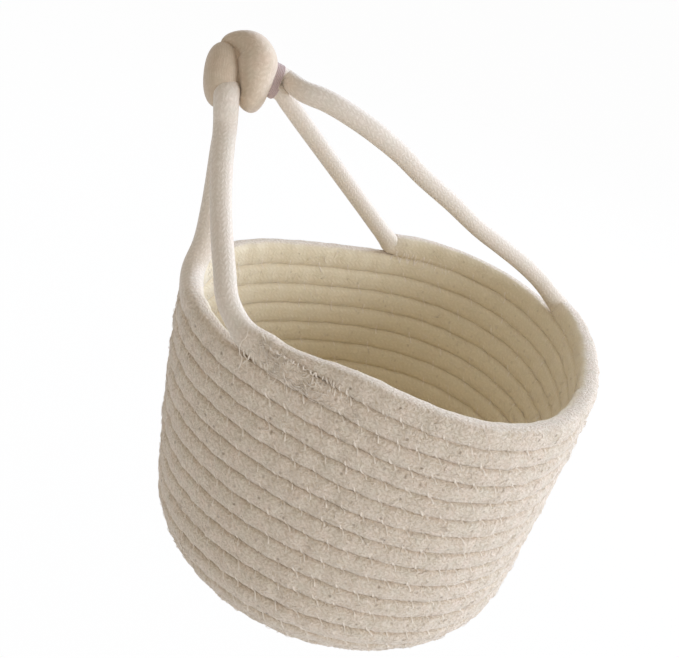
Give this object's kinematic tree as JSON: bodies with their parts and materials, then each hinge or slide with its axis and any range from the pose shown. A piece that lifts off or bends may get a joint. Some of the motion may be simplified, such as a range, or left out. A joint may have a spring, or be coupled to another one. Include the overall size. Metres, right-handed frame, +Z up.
{
  "type": "rope wall basket",
  "caption": "Small round-bottomed basket wound from one cotton rope, hung on a wall by rope strands that leave the rim and meet in a knot.",
  "frame": {"origin": "centre of the flat underside of the basket", "axes": "+Z up from the underside to the opening; +Y towards the wall that the basket hangs on; +X to the right for someone facing that wall"},
  "size_m": [0.1622, 0.1439, 0.1933],
  "materials": {
    "rope": "matte undyed cotton rope",
    "binding": "waxed thread, pinkish brown"
  },
  "bodies": {
    "handle": {"handle_knot": "rope", "neck_binding": "binding", "strand_front_left": "rope", "strand_rear_left": "rope", "strand_rear_right": "rope", "strand_front_right": "rope"},
    "basket": {"base_coil": "rope", "wall_coil": "rope", "middle_rim_run": "rope", "top_rim_run": "rope"}
  },
  "joints": [
    {"name": "basket_lift", "type": "hinge", "parent": "handle", "child": "basket", "pos_m": [-0.018, 0.046, 0.1085], "axis": [-0.9426, -0.3327, -0.0277], "range_deg": [0, 25], "deforming": ["strand_front_left", "strand_rear_left", "strand_rear_right", "strand_front_right"]}
  ]
}
